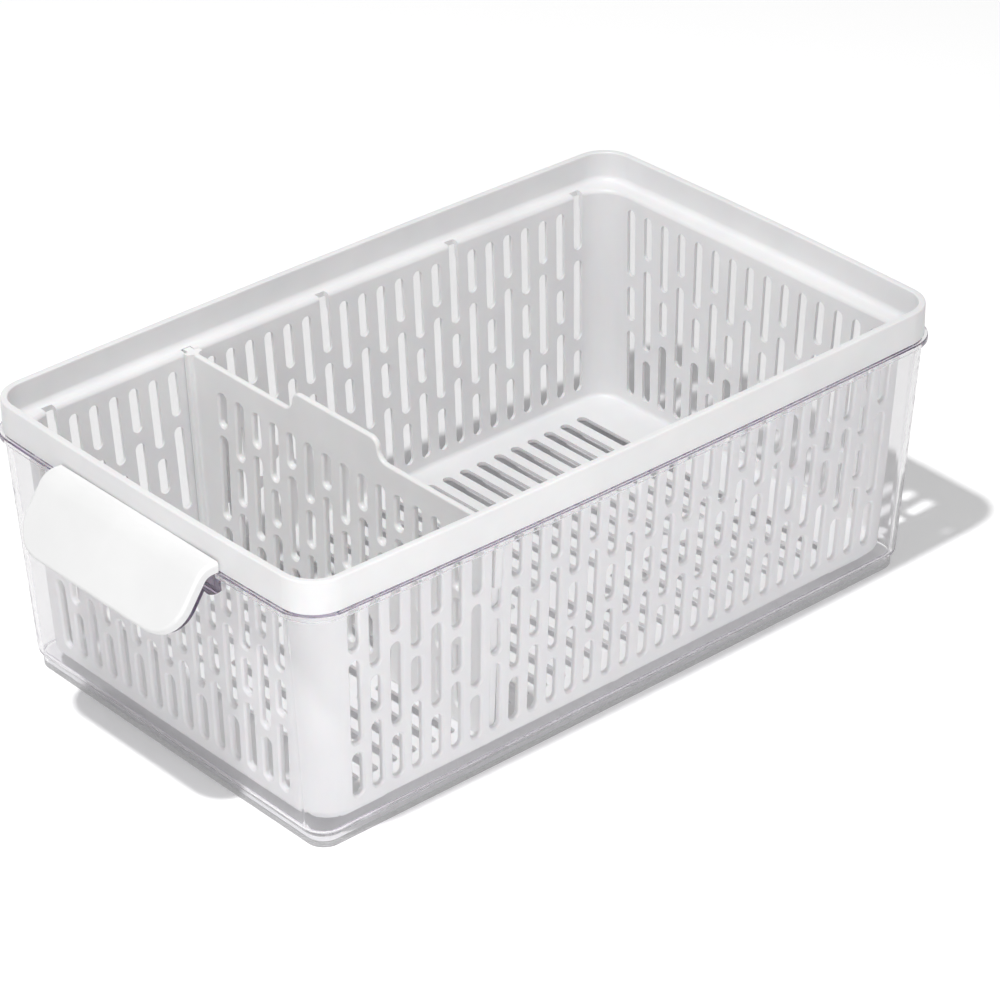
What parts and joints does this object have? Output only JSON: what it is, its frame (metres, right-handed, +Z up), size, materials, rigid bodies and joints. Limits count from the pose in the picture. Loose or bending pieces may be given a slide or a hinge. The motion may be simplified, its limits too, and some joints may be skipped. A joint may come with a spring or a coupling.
{
  "type": "fridge bin",
  "caption": "Clear open storage bin with a white front handle, holding a slotted lift-out basket with a slotted lift-out divider.",
  "frame": {"origin": "centre of the bin's underside, on the surface it stands on", "axes": "+Z up, Y along the length with the handle at -Y, X across the width"},
  "size_m": [0.2096, 0.3672, 0.1263],
  "materials": {
    "clear_plastic": "clear glossy moulded plastic",
    "cover_plastic": "satin white moulded plastic",
    "basket_plastic": "satin white moulded plastic",
    "divider_plastic": "satin white moulded plastic"
  },
  "bodies": {
    "bin": {"clear_bin": "clear_plastic", "handle_cover": "cover_plastic"},
    "basket": {"colander_basket": "basket_plastic"},
    "divider_plate": {"divider": "divider_plastic"}
  },
  "joints": [
    {"name": "basket_lift", "type": "slide", "parent": "bin", "child": "basket", "axis": [0, 0, 1], "range_m": [0, 0.13]},
    {"name": "divider_lift", "type": "slide", "parent": "basket", "child": "divider_plate", "axis": [0, 0, 1], "range_m": [0, 0.12]}
  ]
}
